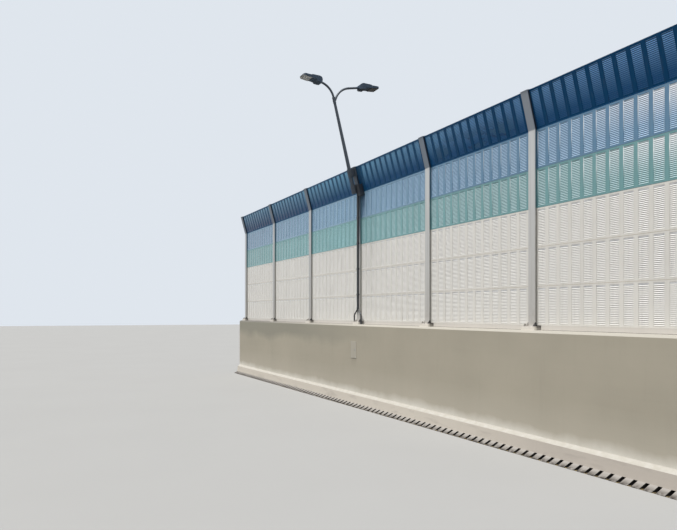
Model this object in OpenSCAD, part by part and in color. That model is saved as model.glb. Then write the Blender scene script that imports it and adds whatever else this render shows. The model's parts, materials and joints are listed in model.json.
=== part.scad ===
// Highway noise barrier: louvred metal panels between steel H posts on a concrete
// parapet, with a canted head row and one twin-arm lamp on the middle post.
// X runs along the barrier, the road lies on the -Y side, Z = 0 is the road level.
// The origin is on the ground under the centreline of the middle post.

/* [Bays] */
// Number of whole bays between posts
bay_count = 6; // [2:1:6]
// Distance from post centreline to post centreline
bay_pitch = 2500; // [2000:10:3000]
// Parapet that runs on past the centreline of each end post
end_overhang = 150; // [140:5:400]

/* [Parapet] */
// Height of the parapet above the road
parapet_height = 1550; // [900:10:2000]
// Thickness of the parapet
parapet_thickness = 400; // [300:10:600]
// Chamfer on both upper edges
parapet_chamfer = 30; // [5:1:60]

/* [Drain kerb] */
// Height of the kerb where it meets the parapet
kerb_height = 245; // [150:5:400]
// Width of the sloping top of the kerb
kerb_top_width = 60; // [20:5:150]
// Fall of the sloping top of the kerb
kerb_top_fall = 40; // [5:5:80]
// How far the kerb face leans out towards its foot
kerb_batter = 12; // [0:1:40]
// Height of the webs that stand between the drain slots
drain_height = 55; // [30:5:120]
// Length of the sloping toe in front of the kerb face
toe_length = 93; // [30:1:200]
// Height of the toe at the road edge
toe_edge = 6; // [2:1:20]
// Distance from drain slot to drain slot
slot_pitch = 150; // [100:5:300]
// Width of a drain slot
slot_width = 50; // [20:1:80]

/* [Post feet] */
// Thickness of the grout pad under a base plate
grout_height = 30; // [10:1:60]
// Side of the grout pad
grout_side = 256; // [250:2:258]
// Side of the square base plate
base_plate_side = 240; // [210:2:250]
// Thickness of the base plate
base_plate_thickness = 20; // [10:1:40]
// Height of the gusset plates at the post foot
gusset_height = 50; // [20:1:120]
// How far a gusset runs out from the flange
gusset_reach = 42; // [10:1:46]
// Thickness of a gusset plate
gusset_thickness = 10; // [5:1:15]

/* [Posts] */
// Depth of the H section, across the barrier
post_depth = 125; // [110:1:200]
// Width of the flanges, along the barrier
flange_width = 125; // [100:1:200]
// Thickness of the flanges
flange_thickness = 9; // [6:0.5:16]
// Thickness of the web
web_thickness = 6.5; // [4:0.5:12]
// Lean of the post heads towards the road
cant_angle = 15; // [5:1:30]
// Length of a post head and of the canted row
cant_length = 500; // [300:10:800]
// Thickness of the plate that closes a post head
cap_thickness = 6; // [3:1:12]
// How far the cap plate stands out past the post head
cap_rim = 3; // [1:1:10]

/* [Panels] */
// Height of one panel row
row_height = 500; // [300:10:600]
// Thickness of a panel over its front sheet
panel_thickness = 80; // [60:1:90]
// Gap between a panel end and the web of its post
panel_end_gap = 8; // [2:1:15]
// Height of the sill that carries the lowest panels
sill_height = 60; // [55:1:150]
// Gap between a sill and the grout pads beside it
sill_gap = 5; // [1:1:20]
// Thickness of the front sheet with the louvre windows
front_sheet = 2; // [1:0.5:4]
// Open groove between the front sheets of two rows
seam_gap = 4; // [1:1:10]
// Width of one column of louvres
louvre_width = 142; // [80:1:200]
// Flat strip between two columns of louvres
strip_width = 53; // [20:1:120]
// Flat margin at the left end of a panel, up to its first column
first_margin = 60; // [52:1:120]
// Least flat margin at the right end of a panel, after its last column
end_margin = 80; // [52:1:150]
// Distance from louvre to louvre
louvre_pitch = 20; // [15:1:40]
// Depth of a louvre behind the front sheet
louvre_depth = 8; // [3:1:12]
// Height of the sloping hood of a louvre
louvre_hood = 14; // [8:1:14]
// Least flat margin above and below a column of louvres
row_margin = 18; // [10:1:40]
// Width of the rubber strip that wedges a panel in its post
gasket_width = 40; // [20:1:45]

/* [Lamp] */
// Distance from the post head to the axis of the lamp pole, at the fold
pole_standoff = 90; // [88:1:110]
// Lean of the lamp pole towards the road
pole_lean = 13.8; // [13:0.1:15]
// Diameter of the lamp pole in its clamps
pole_foot_diameter = 70; // [62:1:90]
// Diameter of the lamp pole at the fork
pole_top_diameter = 52; // [46:1:56]
// Length of the lamp pole up to the fork
pole_length = 1750; // [1200:10:3000]
// Length of the straight lower stretch of the pole
pole_straight = 500; // [495:5:800]
// Diameter of the collar at the fork
fork_diameter = 58; // [54:1:70]
// Length of the collar at the fork
fork_length = 110; // [80:5:150]
// Length of the branch that carries the outer arm
branch_length = 85; // [82:1:120]
// Diameter of the lamp arms
arm_diameter = 42; // [30:1:44]
// Bend radius of the lamp arms
arm_radius = 350; // [200:10:500]
// Angle through which each arm bends
arm_bend = 60; // [40:1:70]
// Lean of the outer arm away from the road where it leaves the fork
outer_arm_lean = 20; // [10:1:30]
// Length of the spigot of the lamp head over the road
road_spigot = 10; // [5:5:300]
// Straight end of the outer arm
outer_arm_straight = 160; // [20:5:300]
// Length of the spigot of the lamp head behind the barrier
outer_spigot = 50; // [10:5:300]
// Length of a lamp head
head_length = 415; // [350:5:700]
// Width of a lamp head
head_width = 240; // [180:5:300]
// Length of the thick half of a lamp head, which holds the gear
gear_length = 236; // [200:2:260]
// Height of the gear housing above the neck's axis
gear_height = 72; // [60:1:90]
// How far a lamp head tips down from the end of its arm
head_tilt = 6; // [0:0.5:12]
// Number of cooling ribs on a lamp head
rib_count = 7; // [2:1:9]
// Thickness of the lamp glass
glass_thickness = 4; // [2:0.5:8]

/* [Pole clamps] */
// Thickness of the clamp plate on the flange and of its cheeks
clamp_plate = 8; // [4:1:12]
// How far the cheeks reach back past the front of the flange
cheek_reach = 30; // [12:1:34]
// Width of the saddle between the plate and the pole
saddle_width = 64; // [40:2:76]
// Wall of a clamp around the pole
clamp_wall = 11; // [6:1:20]
// How far the bolted ears reach to each side of the pole axis
ear_reach = 76; // [60:1:90]
// Thickness of one bolted ear
ear_thickness = 9; // [6:1:14]
// Gap between the two halves of a clamp
clamp_split = 4; // [2:1:8]
// Height of the lower clamp
lower_clamp_height = 170; // [80:5:200]
// Height of the upper clamp
upper_clamp_height = 155; // [50:5:200]
// Height of the top of the upper clamp above the fold, along the cant
upper_clamp_top = 485; // [400:5:490]
// Running clearance between the pole and its clamps
fit_gap = 0.3; // [0.1:0.1:1]

/* [Junction box] */
// Width of the junction box
box_width = 125; // [60:5:200]
// Depth of the junction box
box_depth = 80; // [40:5:90]
// Height of the junction box
box_height = 210; // [100:5:300]
// How far the box hangs below the fold
box_drop = 60; // [20:5:70]
// How far the back of the box lies behind the front of the flange
box_set_back = 20; // [0:1:20]

/* [Conduits] */
// Diameter of a cable conduit
conduit_diameter = 25; // [16:1:32]
// Spacing of the two conduits on the post
conduit_spacing = 34; // [33:1:50]
// Spacing of the two conduits at the parapet
conduit_foot_spacing = 300; // [298:2:400]
// Height above the parapet at which the conduits begin to part
conduit_part_height = 315; // [260:5:600]
// Angle of the parting stretch against the vertical
conduit_part_angle = 52; // [30:1:60]
// Bend radius of a conduit
conduit_bend = 60; // [40:5:80]
// Diameter of the couplings at the bends
coupling_diameter = 31; // [27:1:32]
// Length of a coupling
coupling_length = 24; // [10:1:30]
// Diameter of the collar at a conduit foot
conduit_foot_diameter = 40; // [34:1:41]
// Height of the collar at a conduit foot
conduit_foot_height = 22; // [5:1:60]
// Number of clips along the conduits
clip_count = 4; // [1:1:8]
// Height of a clip
clip_height = 30; // [10:5:60]
// Metal thickness of a clip
clip_wall = 3; // [2:0.5:6]

/* [Cable hatch] */
// Width of the hatch cover in the parapet face
hatch_width = 220; // [100:10:400]
// Height of the hatch cover
hatch_height = 320; // [100:10:600]
// Thickness of the hatch cover
hatch_thickness = 5; // [2:1:20]
// Distance of the hatch to the side of the lamp post
hatch_offset = 70; // [-200:10:200]
// Depth of the hatch's centre below the parapet top
hatch_below_top = 490; // [400:10:600]

/* [Hidden] */
barrier_length = bay_count * bay_pitch;
parapet_length = barrier_length + 2 * end_overhang;
post_count = bay_count + 1;
lamp_post = round(bay_count / 2);
lamp_x = post_x(lamp_post);

parapet_face = -parapet_thickness / 2;
kerb_face_foot = parapet_face - kerb_top_width - kerb_batter;
kerb_toe = kerb_face_foot - toe_length;
slot_count = floor(parapet_length / slot_pitch);

plate_bottom = parapet_height + grout_height;
post_foot = plate_bottom + base_plate_thickness;
panel_bottom = parapet_height + sill_height;
row_names = ["lower_white", "middle_white", "upper_white", "green", "blue"];
row_count = len(row_names);
fold_height = panel_bottom + row_count * row_height;
post_front = -post_depth / 2;
weld_depth = 2;
head_keel = 16;

panel_back = post_depth / 2 - flange_thickness;
panel_front = panel_back - panel_thickness;
panel_length = bay_pitch - web_thickness - 2 * panel_end_gap;
gasket_depth = panel_front - (post_front + flange_thickness);
gasket_edge = (flange_width - gasket_width) / 2 - 2;
column_pitch = louvre_width + strip_width;
column_count = floor((panel_length - first_margin - end_margin + strip_width) / column_pitch);
first_column = first_margin + louvre_width / 2 - panel_length / 2;
louvre_count = floor((row_height - 2 * row_margin) / louvre_pitch);
canted_louvre_count = floor((cant_length - 2 * row_margin) / louvre_pitch);

pole_foot = 10;
pole_top = pole_foot + pole_length;
road_arm_angle = 90 + pole_lean;
outer_arm_angle = 90 - outer_arm_lean;
branch_rise = 21;
branch_root = pole_top + branch_rise;
road_arm_start = up_pole(pole_top + fork_length);
outer_arm_start = up_pole(branch_root) + branch_length * heading(outer_arm_angle);
clamp_half_width = flange_width / 2 + fit_gap + clamp_plate;

conduit_axis = post_front - coupling_diameter / 2 - fit_gap;
conduit_top =
    fold_height - (post_front - conduit_axis + conduit_diameter / 2) * tan(cant_angle) - fit_gap;
conduit_part_top = parapet_height + conduit_part_height;

white_paint = [0.81, 0.80, 0.78];
green_paint = [0.42, 0.63, 0.60];
blue_paint = [0.36, 0.52, 0.67];
navy_paint = [0.10, 0.24, 0.38];
steel_paint = [0.68, 0.69, 0.68];
lamp_paint = [0.25, 0.26, 0.28];
concrete_colour = [0.62, 0.60, 0.54];
rubber_colour = [0.12, 0.12, 0.12];

round_steps = 48;

function post_x(i) = (i - bay_count / 2) * bay_pitch;

// Point [y, z] of the unit direction at an angle from the +Y axis
function heading(angle) = [cos(angle), sin(angle)];

// Point [y, z] that lies on a post head: back from its front face and up along it
function on_head(back, up) =
    [post_front, fold_height] + back * heading(cant_angle) + up * heading(90 + cant_angle);

// Point [y, z] on the axis of the lamp pole
function up_pole(up) = on_head(-pole_standoff, 0) + up * heading(90 + pole_lean);

// Outline [y, z] of the part of a bent post between two depths behind its front face
function bent_strip(near, far) = [
    [post_front + near, post_foot],
    [post_front + near, fold_height + near * tan(cant_angle / 2)],
    on_head(near, cant_length),
    on_head(far, cant_length),
    [post_front + far, fold_height + far * tan(cant_angle / 2)],
    [post_front + far, post_foot]
];

// Corners of one louvre, from its recessed top down to its shaded slot
function louvre(top) = [
    [front_sheet + louvre_depth, top],
    [front_sheet, top - louvre_hood],
    [front_sheet + louvre_depth, top - louvre_hood]
];

// Outline [y, z] of a panel body with its louvred front, y = 0 at the front sheet
function panel_outline(height, louvres) =
    let (top = (height + louvres * louvre_pitch) / 2)
    concat(
        [[panel_thickness, 0], [panel_thickness, height], [front_sheet, height], [front_sheet, top]],
        [for (i = [0:louvres - 1]) each louvre(top - i * louvre_pitch)],
        [[front_sheet + louvre_depth, height - top], [front_sheet, height - top], [front_sheet, 0]]
    );

// Extrudes an outline drawn in [y, z] along X, centred
module along_x(length) rotate([90, 0, 90]) linear_extrude(length, center = true) children();

module each_bay() {
    for (i = [0:bay_count - 1]) translate([(post_x(i) + post_x(i + 1)) / 2, 0, 0]) children();
}

module each_post() {
    for (i = [0:post_count - 1]) translate([post_x(i), 0, 0]) children();
}

// Local frame of the post heads: y back from the front face, z up along the cant
module on_cant() translate([0, post_front, fold_height]) rotate([cant_angle, 0, 0]) children();

module parapet_wall() {
    half = parapet_thickness / 2;
    shoulder = parapet_height - parapet_chamfer;
    color(concrete_colour) along_x(parapet_length) polygon([
        [-half, 0], [-half, shoulder], [parapet_chamfer - half, parapet_height],
        [half - parapet_chamfer, parapet_height], [half, shoulder], [half, 0]
    ]);
}

module drain_kerb() {
    color(concrete_colour) along_x(parapet_length) polygon([
        [parapet_face, drain_height],
        [parapet_face, kerb_height],
        [parapet_face - kerb_top_width, kerb_height - kerb_top_fall],
        [kerb_face_foot, drain_height]
    ]);
}

// The webs between the slots carry the kerb, and the slots drain the road below it
module drain_webs() {
    start = -parapet_length / 2;
    first_slot = -(slot_count - 1) * slot_pitch / 2;
    for (i = [0:slot_count]) {
        from = i == 0 ? start : first_slot + (i - 1) * slot_pitch + slot_width / 2;
        to = i == slot_count ? -start : first_slot + i * slot_pitch - slot_width / 2;
        color(concrete_colour) translate([(from + to) / 2, 0, 0]) along_x(to - from) polygon([
            [parapet_face, 0], [parapet_face, drain_height], [kerb_face_foot, drain_height],
            [kerb_toe, toe_edge], [kerb_toe, 0]
        ]);
    }
}

module hatch_cover() {
    corner = [
        lamp_x + hatch_offset - hatch_width / 2,
        parapet_face - hatch_thickness,
        parapet_height - hatch_below_top - hatch_height / 2
    ];
    color(concrete_colour) translate(corner) cube([hatch_width, hatch_thickness, hatch_height]);
}

module grout_pads() {
    color(concrete_colour) each_post()
        translate([-grout_side / 2, -grout_side / 2, parapet_height])
            cube([grout_side, grout_side, grout_height]);
}

module base_sills() {
    sill_length = bay_pitch - grout_side - 2 * sill_gap;
    color(white_paint) each_bay()
        translate([-sill_length / 2, panel_front, parapet_height])
            cube([sill_length, panel_thickness, sill_height]);
}

// Four gusset plates brace the flange tips on the base plate
module gussets() {
    inner = min(gusset_reach, panel_front - (post_front + flange_thickness)) - 2;
    for (side = [-1, 1]) {
        translate([side * (flange_width + gusset_thickness) / 2, 0, 0]) along_x(gusset_thickness) {
            polygon([
                [post_front - gusset_reach, post_foot],
                [post_front, post_foot + gusset_height],
                [post_front + flange_thickness, post_foot + gusset_height],
                [post_front + flange_thickness + inner, post_foot]
            ]);
            polygon([
                [-post_front - flange_thickness, post_foot],
                [-post_front - flange_thickness, post_foot + gusset_height],
                [-post_front, post_foot + gusset_height],
                [-post_front + gusset_reach, post_foot]
            ]);
        }
    }
}

module post(i) {
    color(steel_paint) translate([post_x(i - 1), 0, 0]) {
        along_x(flange_width) polygon(bent_strip(0, flange_thickness));
        along_x(web_thickness)
            polygon(bent_strip(flange_thickness - weld_depth, post_depth - flange_thickness + weld_depth));
        along_x(flange_width) polygon(bent_strip(post_depth - flange_thickness, post_depth));
        on_cant() translate([-flange_width / 2 - cap_rim, -cap_rim, cant_length - weld_depth])
            cube([flange_width + 2 * cap_rim, post_depth + 2 * cap_rim, cap_thickness + weld_depth]);
        translate([-base_plate_side / 2, -base_plate_side / 2, plate_bottom])
            cube([base_plate_side, base_plate_side, base_plate_thickness]);
        gussets();
    }
}

// Panel body: a closed cassette whose front is one sheet folded into louvres
module panel_bodies(height, louvres) {
    each_bay() along_x(panel_length) polygon(panel_outline(height, louvres));
}

// Front sheet of a panel, with one tall window for each column of louvres
module panel_fronts(height, louvres) {
    each_bay() translate([0, front_sheet, 0]) rotate([90, 0, 0]) linear_extrude(front_sheet)
        difference() {
            translate([-panel_length / 2, seam_gap / 2]) square([panel_length, height - seam_gap]);
            for (i = [0:column_count - 1]) {
                translate([first_column + i * column_pitch, height / 2])
                    square([louvre_width, louvres * louvre_pitch], center = true);
            }
        }
}

function row_paint(row) = row == 3 ? green_paint : row == 4 ? blue_paint : white_paint;

module row_place(row) translate([0, panel_front, panel_bottom + row * row_height]) children();

module canted_place() on_cant() translate([0, panel_front - post_front, 0]) children();

module row_panels(row) {
    color(row_paint(row)) row_place(row) panel_bodies(row_height, louvre_count);
}

module row_fronts(row) {
    color(row_paint(row)) row_place(row) panel_fronts(row_height, louvre_count);
}

module canted_panels() {
    color(navy_paint) canted_place() panel_bodies(cant_length, canted_louvre_count);
}

module canted_fronts() {
    color(navy_paint) canted_place() panel_fronts(cant_length, canted_louvre_count);
}

// Wedge strip that closes the fold between the top row and the canted row
module fold_closers() {
    front = on_head(panel_front - post_front, 0);
    back = on_head(panel_back - post_front, 0);
    color(navy_paint) each_bay() along_x(panel_length)
        polygon([[front.x, fold_height], front, back, [back.x, fold_height]]);
}

module gasket_pair(height) {
    for (side = [-1, 1]) {
        translate([side * (bay_pitch / 2 - gasket_edge) - gasket_width / 2, 0, 0])
            cube([gasket_width, gasket_depth, height]);
    }
}

module post_gaskets() {
    color(rubber_colour) each_bay()
        translate([0, post_front + flange_thickness, panel_bottom])
            gasket_pair(fold_height - panel_bottom);
}

module head_gaskets() {
    color(rubber_colour) each_bay() on_cant() translate([0, flange_thickness, 0])
        gasket_pair(cant_length);
}

// Clamp in plan, with the pole's axis this far in front of the flange: a plate with
// cheeks that grip the flange, a saddle, and a split ring with bolted ears
module clamp_plan(axis) {
    ear = ear_thickness + clamp_split / 2;
    outer = clamp_half_width;
    inner = clamp_half_width - clamp_plate;
    difference() {
        union() {
            polygon([
                [-outer, cheek_reach], [-outer, -clamp_plate], [outer, -clamp_plate], [outer, cheek_reach],
                [inner, cheek_reach], [inner, 0], [-inner, 0], [-inner, cheek_reach]
            ]);
            translate([-saddle_width / 2, -axis]) square([saddle_width, axis - clamp_plate / 2]);
            translate([0, -axis]) circle(d = pole_foot_diameter + 2 * clamp_wall, $fn = round_steps);
            translate([-ear_reach, -axis - ear]) square([2 * ear_reach, 2 * ear]);
        }
        translate([-ear_reach - 1, -axis - clamp_split / 2]) square([2 * ear_reach + 2, clamp_split]);
    }
}

module pole_clamp(bottom, height) {
    middle = bottom + height / 2;
    lean = cant_angle - pole_lean;
    axis = pole_standoff - middle * tan(lean);
    color(lamp_paint) difference() {
        translate([lamp_x, 0, 0]) on_cant() translate([0, 0, bottom])
            linear_extrude(height) clamp_plan(axis);
        on_pole() translate([0, 0, bottom - 50])
            cylinder(d = pole_foot_diameter + 2 * fit_gap, h = height + 100, $fn = round_steps);
    }
}

module lower_clamp() pole_clamp(0, lower_clamp_height);

module upper_clamp() pole_clamp(upper_clamp_top - upper_clamp_height, upper_clamp_height);

module on_pole() {
    foot = up_pole(0);
    translate([lamp_x, foot.x, foot.y]) rotate([pole_lean, 0, 0]) children();
}

module lamp_pole() {
    color(lamp_paint) on_pole() translate([0, 0, pole_foot]) {
        cylinder(d = pole_foot_diameter, h = pole_straight, $fn = round_steps);
        translate([0, 0, pole_straight]) cylinder(
            d1 = pole_foot_diameter, d2 = pole_top_diameter,
            h = pole_length - pole_straight, $fn = round_steps
        );
    }
}

// Centre [y, z] of an arm's bend: turn = 1 bends towards the road, -1 away from it
function bend_centre(start, angle, turn) = start + turn * arm_radius * heading(angle + 90);

// End [y, z] of an arm's bend
function bend_end(start, angle, turn) =
    bend_centre(start, angle, turn) - turn * arm_radius * heading(angle + turn * arm_bend + 90);

module arm(start, angle, turn) {
    centre = bend_centre(start, angle, turn);
    from = turn > 0 ? angle - 90 : angle + 90 - arm_bend;
    translate([lamp_x, centre.x, centre.y]) rotate([90, 0, 90]) rotate([0, 0, from])
        rotate_extrude(angle = arm_bend, $fn = round_steps)
            translate([arm_radius, 0]) circle(d = arm_diameter, $fn = round_steps);
}

// Collar on top of the pole, with a branch for the outer arm
module lamp_fork() {
    root = up_pole(branch_root);
    color(lamp_paint) {
        on_pole() translate([0, 0, pole_top])
            cylinder(d = fork_diameter, h = fork_length, $fn = round_steps);
        translate([lamp_x, root.x, root.y]) rotate([outer_arm_angle - 90, 0, 0])
            cylinder(d = arm_diameter, h = branch_length, $fn = round_steps);
    }
}

module road_arm() color(lamp_paint) arm(road_arm_start, road_arm_angle, 1);

// The outer arm ends in a straight tube, joined to its bend at a weld bead
module outer_arm() {
    end = bend_end(outer_arm_start, outer_arm_angle, -1);
    bead = arm_diameter + 3;
    color(lamp_paint) {
        arm(outer_arm_start, outer_arm_angle, -1);
        translate([lamp_x, end.x, end.y]) rotate([outer_arm_angle - arm_bend - 90, 0, 0]) {
            translate([0, 0, -6]) cylinder(d = bead, h = 12, $fn = round_steps);
            cylinder(d = arm_diameter, h = outer_arm_straight, $fn = round_steps);
        }
    }
}

// Side outline of a lamp head, from its neck to its tip
function head_side() = let (l = head_length, gear = gear_length, top = gear_height) [
    [0, -20], [18, -38], [125, -38], [140, -head_keel], [l - 20, -head_keel], [l, -6],
    [l, 6], [l - 25, 20], [gear + 20, 32], [gear, top - 20], [90, top], [45, top - 3], [0, 34]
];

// Half plan outline of a lamp head
function head_half_plan() = let (l = head_length, w = head_width / 2, gear = gear_length) [
    [0, 0], [0, w - 66], [24, w - 36], [60, w - 22], [gear, w - 14], [gear + 25, w],
    [l - 45, w], [l - 14, w - 14], [l, w - 44], [l, 0]
];

// Sets a lamp head off from the end of its arm, with y out along it and z up
module at_neck(spigot) translate([0, spigot, 0]) rotate([-head_tilt, 0, 0]) children();

// Cooling ribs along the top of the gear housing
module head_ribs() {
    spacing = (head_width - 100) / (rib_count - 1);
    for (i = [0:rib_count - 1]) {
        translate([(i - (rib_count - 1) / 2) * spacing, 0, 0]) along_x(4) polygon([
            [70, gear_height - 22], [96, gear_height + 10],
            [gear_length - 34, gear_height - 4], [gear_length - 16, gear_height - 28]
        ]);
    }
}

module head_body(spigot) {
    half = head_half_plan();
    rotate([-90, 0, 0]) cylinder(d = arm_diameter, h = spigot + 30, $fn = round_steps);
    at_neck(spigot) head_ribs();
    at_neck(spigot) intersection() {
        along_x(head_width + 2) polygon(head_side());
        translate([0, 0, -60]) linear_extrude(160)
            polygon(concat(
                [for (p = half) [p.y, p.x]],
                [for (i = [len(half) - 1:-1:0]) [-half[i].y, half[i].x]]
            ));
    }
}

module head_glass(spigot) {
    side = 14;
    near = gear_length + 10;
    far = head_length - 26;
    at_neck(spigot) translate([side - head_width / 2, near, -head_keel - glass_thickness])
        cube([head_width - 2 * side, far - near, glass_thickness]);
}

// Places a lamp head on the end of its arm, level across and pitched as the arm ends
module at_road_arm() {
    end = bend_end(road_arm_start, road_arm_angle, 1);
    translate([lamp_x, end.x, end.y]) rotate([0, 0, 180])
        rotate([180 - road_arm_angle - arm_bend, 0, 0]) children();
}

module at_outer_arm() {
    end = bend_end(outer_arm_start, outer_arm_angle, -1);
    translate([lamp_x, end.x, end.y]) rotate([outer_arm_angle - arm_bend, 0, 0])
        translate([0, outer_arm_straight, 0]) children();
}

module road_lamp_head() color(lamp_paint) at_road_arm() head_body(road_spigot);

module road_lamp_glass() color("gainsboro") at_road_arm() head_glass(road_spigot);

module outer_lamp_head() color(lamp_paint) at_outer_arm() head_body(outer_spigot);

module outer_lamp_glass() color("gainsboro") at_outer_arm() head_glass(outer_spigot);

module junction_box() {
    color(lamp_paint) translate([lamp_x + clamp_half_width + fit_gap, 0, 0]) on_cant()
        translate([0, box_set_back - box_depth, -box_drop]) cube([box_width, box_depth, box_height]);
}

module pipe(length) cylinder(d = conduit_diameter, h = length, $fn = round_steps);

// Coupling that joins a bend to a straight pipe, centred on the joint
module coupling() cylinder(d = coupling_diameter, h = coupling_length, center = true, $fn = round_steps);

// Bend in the XZ plane about a centre beside the pipe
module pipe_bend(from) {
    rotate([90, 0, 0]) rotate([0, 0, from])
        rotate_extrude(angle = conduit_part_angle, $fn = round_steps)
            translate([conduit_bend, 0]) circle(d = conduit_diameter, $fn = round_steps);
}

// One conduit: down the post, out by an S bend and down beside the base plate
module conduit(side) {
    a = conduit_part_angle;
    shift = (conduit_foot_spacing - conduit_spacing) / 2;
    slope = (shift - 2 * conduit_bend * (1 - cos(a))) / sin(a);
    x_top = conduit_spacing / 2;
    x_foot = conduit_foot_spacing / 2;
    leg_top = conduit_part_top - 2 * conduit_bend * sin(a) - slope * cos(a);
    color(lamp_paint) translate([lamp_x, conduit_axis, 0]) mirror([side < 0 ? 1 : 0, 0, 0]) {
        translate([x_top, 0, conduit_part_top]) {
            pipe(conduit_top - conduit_part_top);
            coupling();
            translate([conduit_bend, 0, 0]) pipe_bend(180);
        }
        translate([x_top + conduit_bend * (1 - cos(a)), 0, conduit_part_top - conduit_bend * sin(a)])
            rotate([0, 180 - a, 0]) {
                coupling();
                pipe(slope);
                translate([0, 0, slope]) coupling();
            }
        translate([x_foot, 0, leg_top]) {
            translate([-conduit_bend, 0, 0]) pipe_bend(0);
            coupling();
        }
        translate([x_foot, 0, parapet_height]) pipe(leg_top - parapet_height);
    }
}

module left_conduit() conduit(-1);

module right_conduit() conduit(1);

// Saddle clips that hold both conduits to the flange
module conduit_clips() {
    bore = conduit_diameter + 2 * fit_gap;
    lug = 14;
    width = conduit_spacing + bore + 2 * clip_wall;
    depth = -conduit_axis + post_front + bore / 2 + clip_wall;
    step = (fold_height - conduit_part_top) / (clip_count + 0.5);
    for (i = [0:clip_count - 1]) {
        color(lamp_paint) translate([lamp_x, post_front, conduit_part_top + (i + 0.5) * step])
            linear_extrude(clip_height) difference() {
                union() {
                    translate([-width / 2, -depth]) square([width, depth]);
                    translate([-width / 2 - lug, -clip_wall]) square([width + 2 * lug, clip_wall]);
                }
                translate([-(conduit_spacing + bore) / 2, clip_wall - depth])
                    square([conduit_spacing + bore, depth]);
            }
    }
}

module conduit_feet() {
    color(lamp_paint) for (side = [-1, 1]) {
        translate([lamp_x + side * conduit_foot_spacing / 2, conduit_axis, parapet_height]) difference() {
            cylinder(d = conduit_foot_diameter, h = conduit_foot_height, $fn = round_steps);
            translate([0, 0, -1]) cylinder(
                d = conduit_diameter + 2 * fit_gap, h = conduit_foot_height + 2, $fn = round_steps
            );
        }
    }
}

parapet_wall();
drain_kerb();
drain_webs();
hatch_cover();
grout_pads();
base_sills();
for (i = [1:post_count]) {
    post(i);
}
for (row = [0:row_count - 1]) {
    row_panels(row);
    row_fronts(row);
}
canted_panels();
canted_fronts();
fold_closers();
post_gaskets();
head_gaskets();
lower_clamp();
upper_clamp();
lamp_pole();
lamp_fork();
road_arm();
outer_arm();
junction_box();
road_lamp_head();
road_lamp_glass();
outer_lamp_head();
outer_lamp_glass();
left_conduit();
right_conduit();
conduit_clips();
conduit_feet();
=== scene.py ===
"""Looks of the highway noise barrier: materials, fasteners, lamp details, light and camera."""
import json
import math

import bmesh
import bpy
from mathutils import Matrix, Vector


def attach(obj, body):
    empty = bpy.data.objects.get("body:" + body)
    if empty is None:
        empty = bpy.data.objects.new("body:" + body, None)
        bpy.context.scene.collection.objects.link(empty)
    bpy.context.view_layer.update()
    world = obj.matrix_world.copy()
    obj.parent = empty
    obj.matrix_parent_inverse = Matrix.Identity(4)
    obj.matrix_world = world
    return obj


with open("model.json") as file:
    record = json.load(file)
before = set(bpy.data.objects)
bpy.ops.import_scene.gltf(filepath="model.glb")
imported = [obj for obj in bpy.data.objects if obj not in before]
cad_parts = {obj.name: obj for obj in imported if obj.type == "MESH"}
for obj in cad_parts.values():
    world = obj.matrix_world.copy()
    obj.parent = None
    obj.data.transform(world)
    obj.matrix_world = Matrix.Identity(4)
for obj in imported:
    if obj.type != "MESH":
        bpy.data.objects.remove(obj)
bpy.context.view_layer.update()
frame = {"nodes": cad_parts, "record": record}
nodes = frame["nodes"]

# Sizes shared with the solids, in metres and degrees
BAY_PITCH = 2.5
BAY_COUNT = 6
PARAPET_TOP = 1.55
PARAPET_FACE = -0.2
PARAPET_END = 7.65
PLATE_TOP = 1.60
ANCHOR_X = 0.097
ANCHOR_Y = 0.088
GUSSET_TOP = 1.65
GUSSET_THICK = 0.010
GUSSET_SPAN = (0.062, 0.1035)
PANEL_BOTTOM = 1.61
ROW_HEIGHT = 0.5
FOLD = 4.11
POST_FRONT = -0.0625
POST_BACK = 0.0625
FLANGE_HALF = 0.0625
PANEL_FRONT = -0.0265
PANEL_DEPTH = 0.08
PANEL_HALF = 1.23875
SILL_HALF = 1.116
CANT = 15.0
FIRST_MARGIN = 0.06
LOUVRE_WIDTH = 0.142
COLUMN_PITCH = 0.195
COLUMN_COUNT = 12
WINDOW = (0.02, 0.48)
SLOT_PITCH = 0.15
SLOT_COUNT = 102
SLOT_HALF = 0.025
KERB_TOE = -0.365
DRAIN_TOP = 0.055
HATCH_X = 0.07
HATCH_Z = 1.06
HATCH_HALF = (0.11, 0.16)
HATCH_THICK = 0.005
CLAMP_HALF = 0.0708
BOX_X = 0.1336
CONDUIT_FOOT = (0.15, -0.0783)
CLIP_START = 1.865
CLIP_COUNT = 4
POLE_STANDOFF = 0.09
POLE_LEAN = 13.8
POLE_FOOT = 0.01
POLE_SEAM = 0.51
POLE_TOP = 1.76
POLE_RADIUS = 0.035
COLLAR_LENGTH = 0.11
COLLAR_RADIUS = 0.0292
BRANCH_ROOT = 0.021
BRANCH_LENGTH = 0.085
OUTER_ANGLE = 70
ARM_RADIUS = 0.35
ARM_BEND = 60.0
ROAD_SPIGOT = 0.01
OUTER_SPIGOT = 0.21
HEAD_TILT = 6.0
GLASS_MIDDLE = (0, 0.3175, -0.0165)
# How far a weld's axis stands off its plate, and how deep a swage's foot lies in its sheet
BITE = 0.0002

POSTS = [(i - BAY_COUNT / 2) * BAY_PITCH for i in range(BAY_COUNT + 1)]
BAYS = [(a + b) / 2 for a, b in zip(POSTS, POSTS[1:])]
# Paint of each row of panels, from the lowest up
ROW_PAINTS = {
    "lower_white": "white",
    "middle_white": "white",
    "upper_white": "white",
    "green": "green",
    "blue": "blue",
    "canted": "navy",
}
UPRIGHT_ROWS = len(ROW_PAINTS) - 1
FIRST_COLUMN = FIRST_MARGIN + LOUVRE_WIDTH / 2 - PANEL_HALF

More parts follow.
